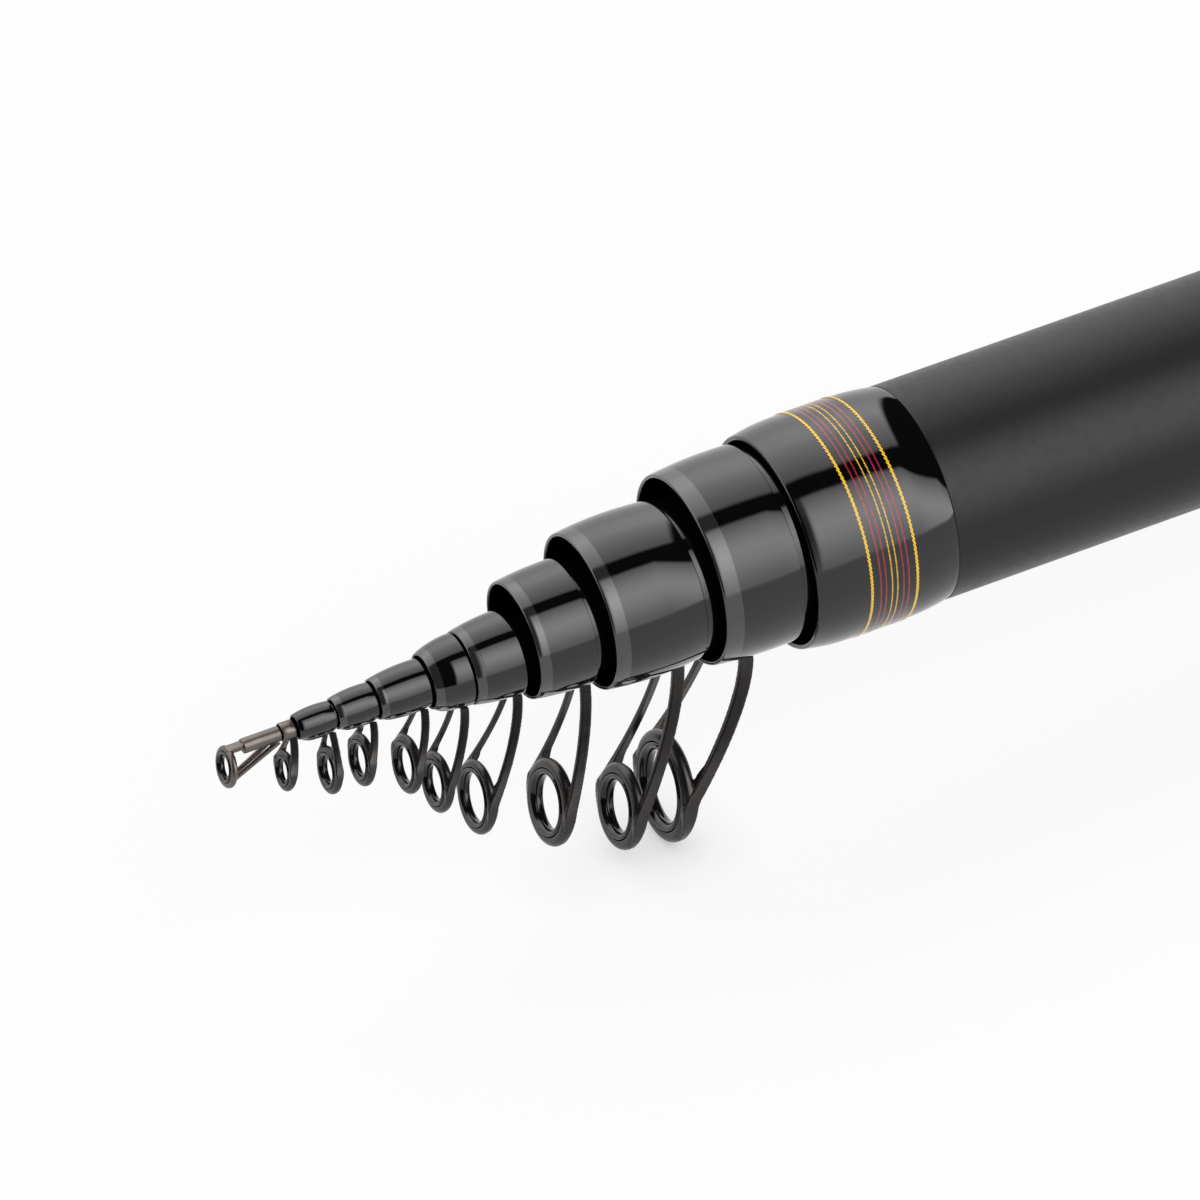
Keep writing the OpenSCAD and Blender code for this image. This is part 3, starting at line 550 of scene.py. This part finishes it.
def leg(name, center, out_r, foot, width, thickness, side, ring_lean):
    hub, rise, sweep = out_r - thickness / 2, foot.z - center.z, foot.x - center.x
    span = math.hypot(foot.y, rise)
    lean, reach = math.atan2(rise, foot.y) - math.acos(hub / span), math.sqrt(span ** 2 - hub ** 2)
    root = LEG_ROOT * hub
    points = [Vector((-mm, 0, (reach + root) * i / LEG_STEPS - root)) for i in range(LEG_STEPS + 1)]
    strip = first_point(name, points[0])
    draw_on(points)
    bpy.ops.mesh.select_all(action="SELECT")
    bpy.ops.mesh.extrude_region_move(TRANSFORM_OT_translate={"value": (2 * mm, 0, 0)})
    bpy.ops.mesh.select_all(action="SELECT")
    bpy.ops.mesh.extrude_region_move(TRANSFORM_OT_translate={"value": (0, mm, 0)})
    close_up()
    # The flat strip is laid along its path: u is 1 at the ring and 0 at the foot. It flares
    # towards the ring and tapers where it wraps the rim, and a web fills the corner there.
    for corner in strip.data.vertices:
        edge, face, along = corner.co
        u = 1 - min(1, max(0, along / reach))
        half = width / 2 * (1 + LEG_FLARE * u ** 5) * (1 + LEG_POINT * min(0, along) / root)
        web = max(0, min(1, WEB_FADE * (WEB_LENGTH - along / hub))) * (math.hypot(hub, max(0, along)) - hub)
        r = hub + thickness / 2 if face > mm / 2 else hub - thickness / 2 - web
        turn = lean + min(0, along) / hub
        y = r * math.cos(turn) - max(0, along) * math.sin(lean)
        z = r * math.sin(turn) + max(0, along) * math.cos(lean)
        x = sweep * (1 - u ** 1.5) - r * math.sin(turn) * math.tan(math.radians(ring_lean)) * u
        twist, over = LEG_TWIST * (1 - u ** 3), math.copysign(half, edge)
        corner.co = (center.x + x + over * math.cos(twist), side * (y - over * math.sin(twist)), center.z + z)
    bpy.ops.object.mode_set(mode="EDIT")
    close_up()
    return strip


def fused(name, objects, voxel, rounds):
    piece = joined(name, objects)
    melt = piece.modifiers.new("fuse", "REMESH")
    melt.mode = "VOXEL"
    melt.voxel_size = voxel
    melt.use_smooth_shade = True
    bpy.ops.object.modifier_apply(modifier="fuse")
    soften = piece.modifiers.new("soften", "SMOOTH")
    soften.factor = 0.5
    soften.iterations = rounds
    bpy.ops.object.modifier_apply(modifier="soften")
    return piece


def foot_saddle(name, number, axis_z, lip, length, last, half_angle, thickness):
    first = 0.6 * mm
    backs = [first + (last - first) * i / 12 for i in range(13)]
    under = [(lip - b, collar_radius(number, b / length) + SKIN) for b in backs]
    over = [(lip - b, collar_radius(number, b / length) + SKIN
             + thickness * math.sqrt(max(SADDLE_EDGE, min(1, 6 * min(b - first, last - b) / (last - first)))))
            for b in reversed(backs)]
    points = [Vector((x, r * math.sin(half_angle), axis_z - r * math.cos(half_angle)))
              for x, r in under + over]
    saddle = first_point(name, points[0])
    draw_on(points + points[:1])
    bpy.ops.mesh.select_all(action="SELECT")
    bpy.ops.mesh.remove_doubles(threshold=WELD)
    bpy.ops.mesh.edge_face_add()
    bpy.ops.mesh.spin(steps=16, angle=2 * half_angle, center=(0, 0, axis_z), axis=(1, 0, 0))
    close_up()
    for corner in saddle.data.vertices:
        x, y, z = corner.co
        turn = math.atan2(y, axis_z - z)
        base = collar_radius(number, (lip - x) / length) + SKIN
        r = base + (math.hypot(y, axis_z - z) - base) * (1 - SADDLE_SIDE * (abs(turn) / half_angle) ** 4)
        corner.co = (x, r * math.sin(turn), axis_z - r * math.cos(turn))
    bpy.ops.object.shade_smooth_by_angle(angle=math.radians(40))
    return saddle


def ceramic_ring(name, center, bore, thickness, holder, lean):
    half = holder * RIM_DEPTH + RING_PROUD
    outer = bore + thickness - RING_GAP
    brow, side = outer - thickness * 0.10, outer - thickness * 0.28
    outline = [(half * 0.55, outer), (half * 0.9, brow), (half, side)]
    outline += [(half * math.cos(a), side - (side - bore) * math.sin(a))
                for a in [math.pi * i / 16 for i in range(1, 16)]]
    outline += [(-half, side), (-half * 0.9, brow), (-half * 0.55, outer)]
    spun = turned(name, [(center.x + x, r) for x, r in outline], center.z, RIM_STEPS, edge=60)
    ring = leaned(spun, center, lean)
    ring.data.materials.append(ceramic)
    return ring


guides = {
    2: {"hole": 4.5, "insert": 1.2, "rim": 1.4, "lean": 9.5, "leg": (1.7, 0.7), "spread": 4.4},
    3: {"hole": 3.2, "insert": 1.0, "rim": 1.25, "lean": 14, "leg": (1.5, 0.65), "spread": 1.9},
    4: {"hole": 3.3, "insert": 1.0, "rim": 1.2, "lean": 14, "leg": (1.3, 0.6), "spread": 1.3},
    5: {"hole": 3.0, "insert": 0.75, "rim": 0.9, "lean": 12, "leg": (1.15, 0.5), "spread": 1.3},
    6: {"hole": 2.2, "insert": 0.75, "rim": 0.85, "lean": 11, "leg": (1.0, 0.5), "spread": 1.4},
    7: {"hole": 2.2, "insert": 0.7, "rim": 0.8, "lean": 11, "leg": (0.95, 0.45), "spread": 1.0},
    8: {"hole": 1.9, "insert": 0.65, "rim": 0.75, "lean": 11, "leg": (0.9, 0.4), "spread": 0.9},
    9: {"hole": 1.6, "insert": 0.65, "rim": 0.75, "lean": 11, "leg": (0.85, 0.4), "spread": 0.8},
}
for number, size in guides.items():
    ring_low, ring_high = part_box("guide_ring_%d" % number)
    frame_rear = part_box("guide_frame_%d" % number)[0].x
    collar_low, collar_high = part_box("collar_%d" % number)
    center = (ring_low + ring_high) / 2
    axis_z = sum(corner.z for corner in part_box("tube_%d" % number)) / 2
    length = collar_high.x - collar_low.x
    width, thickness = (v * mm for v in size["leg"])
    hole, insert, rim_t, spread = (size[key] * mm for key in ("hole", "insert", "rim", "spread"))
    foot_x = frame_rear + width / 2
    foot_r = collar_radius(number, (collar_high.x - foot_x) / length) + FOOT_GAP + SADDLE_T * FOOT_DEPTH
    foot = Vector((foot_x, spread, axis_z - math.sqrt(foot_r ** 2 - spread ** 2)))
    seat = hole + insert
    parts = [rim("rim", center, seat, rim_t, size["lean"])]
    parts += [leg("leg", center, seat + rim_t, foot, width, thickness * LEG_STOUT, side, size["lean"])
              for side in (1, -1)]
    voxel = 0.09 * mm if number < 6 else 0.075 * mm
    guide = fused("guide_%d" % number, parts, voxel, rounds=14)
    half_angle = math.asin((spread + thickness) / foot_r)
    saddle = foot_saddle("saddle", number, axis_z, collar_high.x, length, collar_high.x - frame_rear,
                         half_angle, SADDLE_T)
    guide.data.materials.append(gunmetal)
    saddle.data.materials.append(gloss_lacquer)
    guide = joined("guide_%d" % number, [guide, saddle])
    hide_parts("guide_frame_%d" % number)
    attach(guide, "section_%d" % number)
    ring = ceramic_ring("ring_%d" % number, center, hole, insert, rim_t, size["lean"])
    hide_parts("guide_ring_%d" % number)
    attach(ring, "section_%d" % number)

# The tip: a solid tapered blank, and on its front end the tip-top in satin taupe
# metal, a tube with a flat strut over to the ring's top and two thin braces from
# the ring's foot back to the tube. Its ring has a small ceramic insert.

blank_low, blank_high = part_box("tip_blank")
top_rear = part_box("tip_top_frame")[0].x
insert_low, insert_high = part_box("tip_top_ring")
tip_z = (blank_low.z + blank_high.z) / 2
stop_r, point_r, point_edge, core_r = 1.2 * mm, 0.7 * mm, 0.1 * mm, 0.2 * mm
tip = turned("tip_blank_rod", [
    (blank_low.x, core_r), (blank_low.x, stop_r - TUBE_EDGE), (blank_low.x + TUBE_EDGE, stop_r),
    (blank_low.x + MOUTH, stop_r), (top_rear, point_r), (blank_high.x - point_edge, point_r),
    (blank_high.x, point_r - point_edge), (blank_high.x, core_r)], tip_z, steps=48, edge=30)
tip.data.materials.append(gloss_lacquer)
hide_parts("tip_blank")
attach(tip, "tip_section")

taupe, shader = finish("tip_taupe", (0.13, 0.112, 0.103), 0.34, metallic=0.9)
tint(taupe, shader.inputs["Base Color"], grain(taupe, 1200, (0.3, 1, 1)),
     (0.12, 0.103, 0.095), (0.14, 0.121, 0.111))
vary(taupe, shader.inputs["Roughness"], grain(taupe, 700), 0.30, 0.38)
relief(taupe, shader, grain(taupe, 1500), 0.01 * mm, 0.05)

SMALL_LEAN, SMALL_RIM, SMALL_HOLE = 12, 0.62 * mm, 1.4 * mm
SMALL_STEPS, SMALL_VOXEL = 64, 0.06 * mm
tube_start, tube_end = top_rear - 0.3 * mm, top_rear + 4.7 * mm
tube_r, tube_bore, bore_end = 0.95 * mm, 0.73 * mm, tube_end - 0.9 * mm
nose_edge, nose_wall, nose_hole, nose_seat = 0.12 * mm, 0.5 * mm, 0.3 * mm, 0.55 * mm
heel_long, heel_deep = 0.1 * mm, 0.08 * mm
ring_at = (insert_low + insert_high) / 2
ring_insert, ring_seat = 0.6 * mm, 2.0 * mm
ring_out = ring_seat + SMALL_RIM


def bar(name, start, end, radius):
    line = end - start
    bpy.ops.object.select_all(action="DESELECT")
    bpy.ops.mesh.primitive_cylinder_add(
        vertices=16, radius=radius, depth=line.length, location=(start + end) / 2,
        rotation=line.to_track_quat("Z", "Y").to_euler())
    piece = bpy.context.object
    piece.name = name
    bpy.ops.object.transform_apply(location=True, rotation=True, scale=True)
    return piece


def flat_strip(name, line, width, thickness):
    over = [p + Vector((0, 0, thickness / 2)) for p in line]
    under = [p - Vector((0, 0, thickness / 2)) for p in reversed(line)]
    points = [p - Vector((0, width / 2, 0)) for p in over + under]
    strip = first_point(name, points[0])
    draw_on(points + points[:1])
    bpy.ops.mesh.select_all(action="SELECT")
    bpy.ops.mesh.remove_doubles(threshold=WELD)
    bpy.ops.mesh.edge_face_add()
    bpy.ops.mesh.extrude_region_move(TRANSFORM_OT_translate={"value": (0, width, 0)})
    close_up()
    return strip


sleeve = turned("sleeve", [
    (tube_start, tube_bore), (tube_start, tube_r - heel_deep), (tube_start + heel_long, tube_r),
    (tube_end - nose_edge, tube_r), (tube_end, tube_r - nose_edge), (tube_end, nose_hole),
    (tube_end - nose_wall, nose_hole), (tube_end - nose_wall, nose_seat), (bore_end, tube_bore)],
    tip_z, SMALL_STEPS)
strut_width, strut_t, brace_r, gusset_r = 1.2 * mm, 0.66 * mm, 0.34 * mm, 0.48 * mm
strut_z = ring_at.z + ring_out - SMALL_RIM / 2
strut_line = [Vector((bore_end, 0, strut_z)), Vector((ring_at.x - 0.2 * mm, 0, strut_z))]
strut = flat_strip("strut", strut_line, strut_width, strut_t)
tip_rim = rim("tip_rim", ring_at, ring_seat, SMALL_RIM, SMALL_LEAN)
brace_root = Vector((ring_at.x + 0.2 * mm, 0, ring_at.z - ring_out + 0.35 * mm))
brace_end = Vector((tube_start + 0.4 * mm, 0, tip_z - 0.72 * mm))
sideways = Vector((0, mm, 0))
root_side, end_side, gusset_share = 0.3 * sideways, 0.62 * sideways, 0.2
braces = [bar("brace", brace_root + side * root_side, brace_end + side * end_side, brace_r)
          for side in (1, -1)]
gusset = bar("gusset", brace_root, brace_root.lerp(brace_end, gusset_share), gusset_r)
tip_top = fused("tip_top", [sleeve, strut, tip_rim, gusset, *braces], SMALL_VOXEL, rounds=5)
tip_top.data.materials.append(taupe)
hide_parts("tip_top_frame")
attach(tip_top, "tip_section")
tip_ring = ceramic_ring("tip_ring", ring_at, SMALL_HOLE, ring_insert, SMALL_RIM, SMALL_LEAN)
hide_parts("tip_top_ring")
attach(tip_ring, "tip_section")

# The floating guide: a taupe sleeve that slides on the tip blank, with a ring hung
# under it on two short broad legs, in the same gunmetal as the others.

float_ring_low, float_ring_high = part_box("floating_guide_ring")
float_at = (float_ring_low + float_ring_high) / 2
sleeve_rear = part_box("tube_9")[1].x + 0.3 * mm
sleeve_front, sleeve_edge = sleeve_rear + 1.7 * mm, 0.08 * mm
float_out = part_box("floating_guide_frame")[1].z - tip_z
float_bore, float_brow = float_out - 0.15 * mm, float_out - 0.05 * mm
float_sleeve = turned("float_sleeve", [
    (sleeve_rear, float_bore), (sleeve_rear, float_brow), (sleeve_rear + sleeve_edge, float_out),
    (sleeve_front - sleeve_edge, float_out), (sleeve_front, float_brow), (sleeve_front, float_bore)],
    tip_z, SMALL_STEPS)
float_sleeve.data.materials.append(taupe)
float_insert, leg_width, leg_t = 0.5 * mm, 0.9 * mm, 0.45 * mm
float_seat = SMALL_HOLE + float_insert
float_rim_r = float_seat + SMALL_RIM
float_foot = Vector((sleeve_rear + 0.35 * mm, float_out / 2, tip_z - float_out * 0.7))
float_parts = [rim("float_rim", float_at, float_seat, SMALL_RIM, SMALL_LEAN)]
float_parts += [leg("float_leg", float_at, float_rim_r, float_foot, leg_width, leg_t, side, SMALL_LEAN)
                for side in (1, -1)]
float_guide = fused("floating_guide", float_parts, SMALL_VOXEL, rounds=4)
float_guide.data.materials.append(gunmetal)
float_guide = joined("floating_guide", [float_guide, float_sleeve])
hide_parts("floating_guide_frame")
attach(float_guide, "floating_guide")
float_ring = ceramic_ring("floating_ring", float_at, SMALL_HOLE, float_insert, SMALL_RIM, SMALL_LEAN)
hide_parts("floating_guide_ring")
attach(float_ring, "floating_guide")

# The table: a white sweep under the rod, which lies on its largest ring and its butt.
# It glows an even white, dimmed by a painted contact shadow where a ring stands close
# to it, and fades out towards its edges, so that no edge shows against the white room.

TABLE_MID, TABLE_LEN, TABLE_WIDTH = 0.3, 2.6, 2.0
rest_x, rest_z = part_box("guide_ring_2")[1].x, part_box("guide_frame_2")[0].z
butt_under = -14.1 * mm
slope = (rest_z - butt_under) / rest_x
bpy.ops.object.select_all(action="DESELECT")
bpy.ops.mesh.primitive_plane_add(size=1, location=(0, 0, 0))
table = bpy.context.object
table.name = "table"
bpy.ops.object.mode_set(mode="EDIT")
bpy.ops.mesh.select_all(action="SELECT")
bpy.ops.mesh.subdivide(number_cuts=3)
bpy.ops.object.mode_set(mode="OBJECT")
for corner in table.data.vertices:
    x, y = TABLE_MID + corner.co.x * TABLE_LEN, corner.co.y * TABLE_WIDTH
    corner.co = (x, y, rest_z + slope * (x - rest_x))

white, shader = finish("table_white", (0.9, 0.9, 0.9), 0.9, specular=0.0)
nodes, links = tree(white)
path = nodes.new("ShaderNodeLightPath").outputs
mirrored = math_node(white, "MAXIMUM", path["Is Glossy Ray"], path["Is Transmission Ray"])
seen = math_node(white, "MAXIMUM", path["Is Camera Ray"], mirrored)
GLOW_SHARE, CONTACT_SHADOW_REACH = 0.86, 9 * mm
DARKEST, LIGHTEST = 0.5, 0.985
glow = nodes.new("ShaderNodeEmission")
# Painted contact shadow: ambient occlusion dims the table's glow where the rod comes close to it.
near = nodes.new("ShaderNodeAmbientOcclusion")
near.samples = 8
near.inputs["Distance"].default_value = CONTACT_SHADOW_REACH
vary(white, glow.inputs["Strength"], near.outputs["AO"], DARKEST, LIGHTEST, start=0.0, stop=1.0)
lit = nodes.new("ShaderNodeMixShader")
links.new(math_node(white, "MULTIPLY", seen, GLOW_SHARE), lit.inputs["Fac"])
links.new(shader.outputs["BSDF"], lit.inputs[1])
links.new(glow.outputs["Emission"], lit.inputs[2])
FADE_LEN, FADE_WIDTH = 1.1, 0.42
clear = nodes.new("ShaderNodeBsdfTransparent")
place = nodes.new("ShaderNodeTexCoord")
shift = nodes.new("ShaderNodeMapping")
shift.inputs["Location"].default_value = (-TABLE_MID / FADE_LEN, 0, 0)
shift.inputs["Scale"].default_value = (1 / FADE_LEN, 1 / FADE_WIDTH, 0)
fade = nodes.new("ShaderNodeTexGradient")
fade.gradient_type = "SPHERICAL"
links.new(place.outputs["Object"], shift.inputs["Vector"])
links.new(shift.outputs["Vector"], fade.inputs["Vector"])
veil = nodes.new("ShaderNodeMapRange")
veil.interpolation_type = "SMOOTHSTEP"
veil.inputs["From Min"].default_value = 0.05
veil.inputs["From Max"].default_value = 0.5
links.new(fade.outputs["Fac"], veil.inputs["Value"])
whole = nodes.new("ShaderNodeMixShader")
links.new(veil.outputs["Result"], whole.inputs["Fac"])
links.new(clear.outputs["BSDF"], whole.inputs[1])
links.new(lit.outputs["Shader"], whole.inputs[2])
links.new(whole.outputs["Shader"], nodes["Material Output"].inputs["Surface"])
table.data.materials.append(white)

# The room: white behind everything, an even level on matt surfaces, and in gloss
# a long soft box on the near side, a second one on the far side and a dark gap
# overhead between them, which widens towards the butt.

BRIGHTEST, MATT_LEVEL = 4.4, 0.62
world = bpy.data.worlds.new("studio")
bpy.context.scene.world = world
world.use_nodes = True
nodes, links = tree(world)
room = nodes["Background"]
place = nodes.new("ShaderNodeTexCoord")
axes = nodes.new("ShaderNodeSeparateXYZ")
links.new(place.outputs["Generated"], axes.inputs["Vector"])

# The near box slides up behind the rod, but not past the edge that it is held at.
SLIDE_FROM, SLIDE_RATE, SLIDE_HOLD = -0.36, math.radians(100), math.radians(12)
angle = math_node(world, "ARCTAN2", axes.outputs["Y"], axes.outputs["Z"])
behind_by = math_node(world, "MAXIMUM", math_node(world, "SUBTRACT", SLIDE_FROM, axes.outputs["X"]), 0.0)
slid = math_node(world, "SUBTRACT", angle, math_node(world, "MULTIPLY", behind_by, SLIDE_RATE))
held = math_node(world, "MAXIMUM", slid, math_node(world, "MINIMUM", angle, SLIDE_HOLD))
round_share = nodes.new("ShaderNodeMapRange")
round_share.inputs["From Min"].default_value = -math.pi
round_share.inputs["From Max"].default_value = math.pi
links.new(held, round_share.inputs["Value"])


def grey(level):
    return level / BRIGHTEST, level / BRIGHTEST, level / BRIGHTEST, 1


def around(stops):
    ramp = nodes.new("ShaderNodeValToRGB")
    points = ramp.color_ramp.elements
    while len(points) > 1:
        points.remove(points[-1])
    for i, (degrees, level) in enumerate(stops):
        spot = points[0] if i == 0 else points.new((degrees + 180) / 360)
        spot.position = (degrees + 180) / 360
        spot.color = grey(level)
    links.new(round_share.outputs["Result"], ramp.inputs["Fac"])
    return ramp.outputs["Color"]


def mixed(factor, first, second):
    blend = nodes.new("ShaderNodeMix")
    blend.data_type = "RGBA"
    links.new(factor, blend.inputs["Factor"])
    for socket, value in ((blend.inputs["A"], first), (blend.inputs["B"], second)):
        if isinstance(value, tuple):
            socket.default_value = value
        else:
            links.new(value, socket)
    return blend.outputs["Result"]


def by_direction(start, stop, before, after):
    edge = nodes.new("ShaderNodeMapRange")
    edge.interpolation_type = "SMOOTHSTEP"
    edge.inputs["From Min"].default_value = start
    edge.inputs["From Max"].default_value = stop
    links.new(axes.outputs["X"], edge.inputs["Value"])
    return mixed(edge.outputs["Result"], before, after)


# Each list gives levels of light by the angle round the rod, in degrees from overhead.
far_side = [(-180, 0.9), (-85, 1.1), (-70, 1.5), (-55, 2.4), (-42, 2.9), (-28, 2.5), (-16, 2.1),
            (1, 1.4), (5, 0.02)]
near_side = [(21, 0.02), (25, 1.8), (34, 2.8), (44, 3.8), (55, 4.3), (67, 3.8), (79, 2.9), (91, 2.1),
             (104, 1.6), (142, 1.4), (180, 0.9)]
boxes = around(far_side + near_side)
open_side = around(far_side + [(107, 0.02), (157, 0.5), (180, 0.9)])
behind = around([(-180, 0.9), (-85, 1.1), (-74, 1.3), (-69, 0.02)] + near_side)
BEHIND_EDGE, OPEN_EDGE = (-0.485, -0.455), (0.0, 0.07)
gloss = by_direction(*BEHIND_EDGE, behind, by_direction(*OPEN_EDGE, boxes, open_side))
path = nodes.new("ShaderNodeLightPath").outputs
shown = math_node(world, "MAXIMUM", path["Is Camera Ray"], path["Is Transmission Ray"])
dressed = mixed(path["Is Glossy Ray"], grey(MATT_LEVEL), gloss)
links.new(mixed(shown, dressed, grey(1.0)), room.inputs["Color"])
room.inputs["Strength"].default_value = BRIGHTEST

LAMP_SIZE, lit_spot = 0.9, Vector((0.45, 0, -0.02))
for name, spot, energy in (("near_box", (0.2, 0.9, 0.9), 9.0), ("far_box", (0.4, -0.8, 1.0), 6.0)):
    lamp = bpy.data.lights.new(name, "AREA")
    lamp.size = LAMP_SIZE
    lamp.energy = energy
    holder = bpy.data.objects.new(name, lamp)
    holder.location = spot
    holder.rotation_euler = (lit_spot - Vector(spot)).to_track_quat("-Z", "Y").to_euler()
    holder.visible_glossy = False
    bpy.context.collection.objects.link(holder)
bpy.context.scene.view_settings.view_transform = "Standard"

# The camera: a long lens from ahead of the tip, on the near side and above, rolled a
# little, with the tip at the left and the butt running out of the frame at the right.

azimuth, elevation, roll_angle = math.radians(156.78), math.radians(34.62), math.radians(-5.86)
target, distance = Vector((544.1, 0, -15)) * mm, 1211.5 * mm
to_right, to_top = 8.89 * mm, 16.18 * mm
flat = math.cos(elevation)
back = Vector((math.sin(azimuth) * flat, -math.cos(azimuth) * flat, math.sin(elevation)))
right = Vector((0, 0, 1)).cross(back).normalized()
up = back.cross(right)
right, up = (math.cos(roll_angle) * right + math.sin(roll_angle) * up,
             math.cos(roll_angle) * up - math.sin(roll_angle) * right)
lens = bpy.data.cameras.new("camera")
lens.sensor_width = 36
lens.lens = 300
lens.clip_start = 0.01
camera = bpy.data.objects.new("camera", lens)
bpy.context.collection.objects.link(camera)
spot = target + back * distance + right * to_right + up * to_top
camera.matrix_world = Matrix(((right.x, up.x, back.x, spot.x), (right.y, up.y, back.y, spot.y),
                              (right.z, up.z, back.z, spot.z), (0, 0, 0, 1)))
bpy.context.scene.camera = camera
